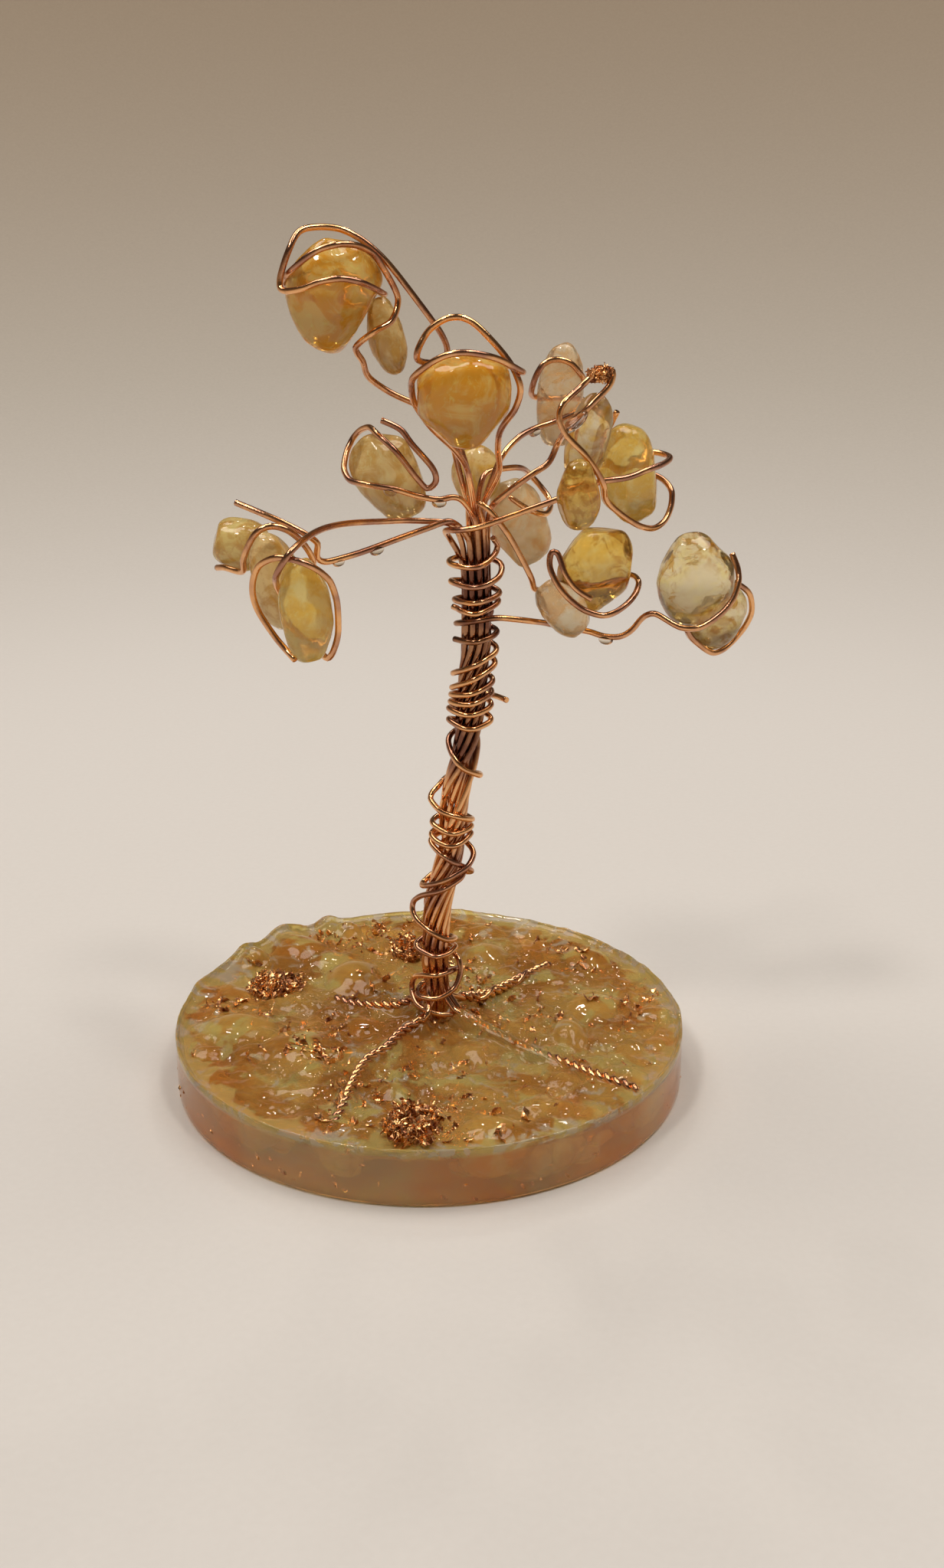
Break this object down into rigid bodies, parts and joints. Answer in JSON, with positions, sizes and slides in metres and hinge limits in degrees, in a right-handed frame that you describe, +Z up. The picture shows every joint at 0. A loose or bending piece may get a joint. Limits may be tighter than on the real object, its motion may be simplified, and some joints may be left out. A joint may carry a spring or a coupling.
{
  "type": "wire gem tree",
  "caption": "Small ornamental tree of twisted copper wire with tumbled yellow stones held in wire loops, rooted in a round cast-resin base with stones and copper shavings",
  "frame": {"origin": "centre of the flat round underside of the resin base", "axes": "+Z up along the tree, +X to the right of the shown face, -Y towards the viewer of the shown face"},
  "size_m": [0.0834, 0.075, 0.1205],
  "materials": {
    "branch_wire": "bare polished copper wire, slightly darkened",
    "wrap_wire": "bare copper wire, darker in the recesses",
    "golden_citrine": "tumble-polished cloudy golden quartz",
    "pale_citrine": "tumble-polished clear pale quartz",
    "set_citrine": "tumbled quartz under clear resin",
    "copper_shavings": "crumpled bright copper shavings under resin",
    "resin": "glossy amber cast resin"
  },
  "bodies": {
    "root": {"wire_top_left": "branch_wire", "wire_top_centre": "branch_wire", "wire_middle_left": "branch_wire", "wire_far_left_long": "branch_wire", "wire_far_left_short": "branch_wire", "wire_far_left_clip": "branch_wire", "wire_back_right": "branch_wire", "wire_right_lower": "branch_wire", "wire_right_upper": "branch_wire", "wire_right_low": "branch_wire", "wire_far_right": "branch_wire", "wire_far_right_clip": "branch_wire", "wire_behind_trunk_right": "branch_wire", "wire_behind_trunk_top": "branch_wire", "wrap_upper": "wrap_wire", "wrap_slant_first": "wrap_wire", "wrap_slant_second": "wrap_wire", "wrap_cross": "wrap_wire", "wrap_lower": "wrap_wire", "wrap_foot": "wrap_wire", "stone_top_left_egg": "golden_citrine", "stone_top_left_drop": "pale_citrine", "stone_top_centre": "golden_citrine", "stone_middle_left": "golden_citrine", "stone_far_left_outer": "golden_citrine", "stone_far_left_middle": "golden_citrine", "stone_far_left_front": "golden_citrine", "stone_back_right_flat": "pale_citrine", "stone_right_long": "golden_citrine", "stone_right_drop": "golden_citrine", "stone_right_golden": "golden_citrine", "stone_right_low": "golden_citrine", "stone_right_low_pink": "pale_citrine", "stone_far_right": "pale_citrine", "stone_far_right_back": "pale_citrine", "stone_behind_trunk_right": "pale_citrine", "stone_behind_trunk_top": "golden_citrine", "shavings_right_tip": "copper_shavings", "set_stone_left_rim": "set_citrine", "set_stone_left": "set_citrine", "set_stone_behind_trunk_left": "set_citrine", "set_stone_back_left": "set_citrine", "set_stone_back_rim": "set_citrine", "set_stone_left_peak": "set_citrine", "set_stone_behind_trunk_right": "set_citrine", "set_stone_right": "set_citrine", "set_stone_right_pointed": "set_citrine", "set_stone_front_small": "set_citrine", "set_stone_front": "set_citrine", "set_stone_back_right": "set_citrine", "shavings_front": "copper_shavings", "shavings_left": "copper_shavings", "shavings_back": "copper_shavings", "resin_base": "resin"}
  },
  "joints": []
}
